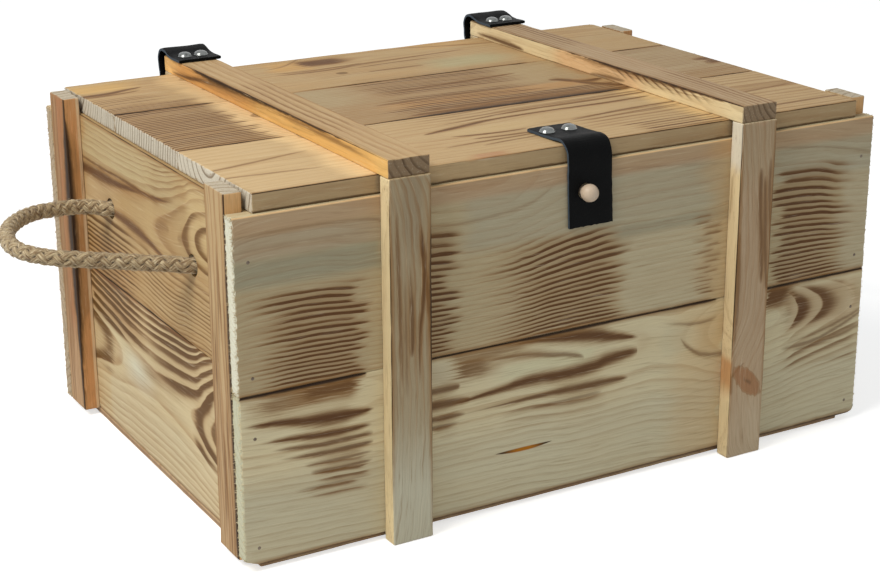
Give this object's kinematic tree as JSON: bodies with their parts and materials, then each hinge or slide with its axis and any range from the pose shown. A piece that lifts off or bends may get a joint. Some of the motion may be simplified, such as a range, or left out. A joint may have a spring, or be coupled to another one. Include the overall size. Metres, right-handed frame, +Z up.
{
  "type": "wooden wine box",
  "caption": "Flame-scorched pine bottle crate with a leather-hinged lid, a leather strap that buttons over a wooden peg, and rope handles.",
  "frame": {"origin": "middle of the base's underside, on the ground", "axes": "+X along the long side to the right as seen from the front, +Y from the front with the closure strap to the hinged back, +Z up"},
  "size_m": [0.6828, 0.3682, 0.2642],
  "materials": {
    "wall_pine": "flame-scorched, brushed, unvarnished pine with dark latewood",
    "batten_pine": "flame-scorched pine with burnt arrises",
    "lid_pine": "light pine with brown grain",
    "base_plywood": "thin bare plywood",
    "peg_beech": "smooth turned beech",
    "black_leather": "black harness leather with grey cut edges",
    "jute_rope": "braided jute, hairy",
    "dome_nail_steel": "bright nickel dome",
    "wire_nail_steel": "dull steel"
  },
  "bodies": {
    "box": {"front_board_upper": "wall_pine", "front_board_lower": "wall_pine", "back_board_upper": "wall_pine", "back_board_lower": "wall_pine", "left_end_board_upper": "wall_pine", "left_end_board_lower": "wall_pine", "right_end_board_upper": "wall_pine", "right_end_board_lower": "wall_pine", "corner_batten_front_left": "batten_pine", "corner_batten_front_right": "batten_pine", "corner_batten_back_left": "batten_pine", "corner_batten_back_right": "batten_pine", "front_batten_left": "batten_pine", "front_batten_right": "batten_pine", "back_batten_left": "batten_pine", "back_batten_right": "batten_pine", "base_panel": "base_plywood", "closure_peg": "peg_beech", "corner_nails": "wire_nail_steel", "end_nails": "wire_nail_steel", "wall_batten_nails": "wire_nail_steel", "base_nails": "wire_nail_steel", "hinge_nails_back": "dome_nail_steel", "left_rope_knots": "jute_rope", "right_rope_knots": "jute_rope"},
    "lid": {"lid_board_front": "lid_pine", "lid_board_middle": "lid_pine", "lid_board_back": "lid_pine", "lid_batten_left": "batten_pine", "lid_batten_right": "batten_pine", "lid_nails": "wire_nail_steel", "hinge_nails_lid": "dome_nail_steel", "left_hinge_strap": "black_leather", "right_hinge_strap": "black_leather", "closure_strap_root": "black_leather", "closure_nails": "dome_nail_steel"},
    "closure_tongue": {"closure_strap_tongue": "black_leather"},
    "left_handle": {"left_rope_handle": "jute_rope"},
    "right_handle": {"right_rope_handle": "jute_rope"}
  },
  "joints": [
    {"name": "lid_hinge", "type": "hinge", "parent": "box", "child": "lid", "pos_m": [0, 0.1819, 0.2465], "axis": [-1, 0, 0], "range_deg": [0, 110], "deforming": ["left_hinge_strap", "right_hinge_strap"]},
    {"name": "closure_lift", "type": "hinge", "parent": "lid", "child": "closure_tongue", "pos_m": [0, -0.1656, 0.2436], "axis": [-1, 0, 0], "range_deg": [0, 110], "deforming": ["closure_strap_tongue"]},
    {"name": "left_handle_swing", "type": "hinge", "parent": "box", "child": "left_handle", "pos_m": [-0.238, 0, 0.17675], "axis": [0, 1, 0], "range_deg": [-75, 60], "deforming": ["left_rope_handle"]},
    {"name": "right_handle_swing", "type": "hinge", "parent": "box", "child": "right_handle", "pos_m": [0.238, 0, 0.17675], "axis": [0, -1, 0], "range_deg": [-75, 60], "deforming": ["right_rope_handle"]}
  ]
}
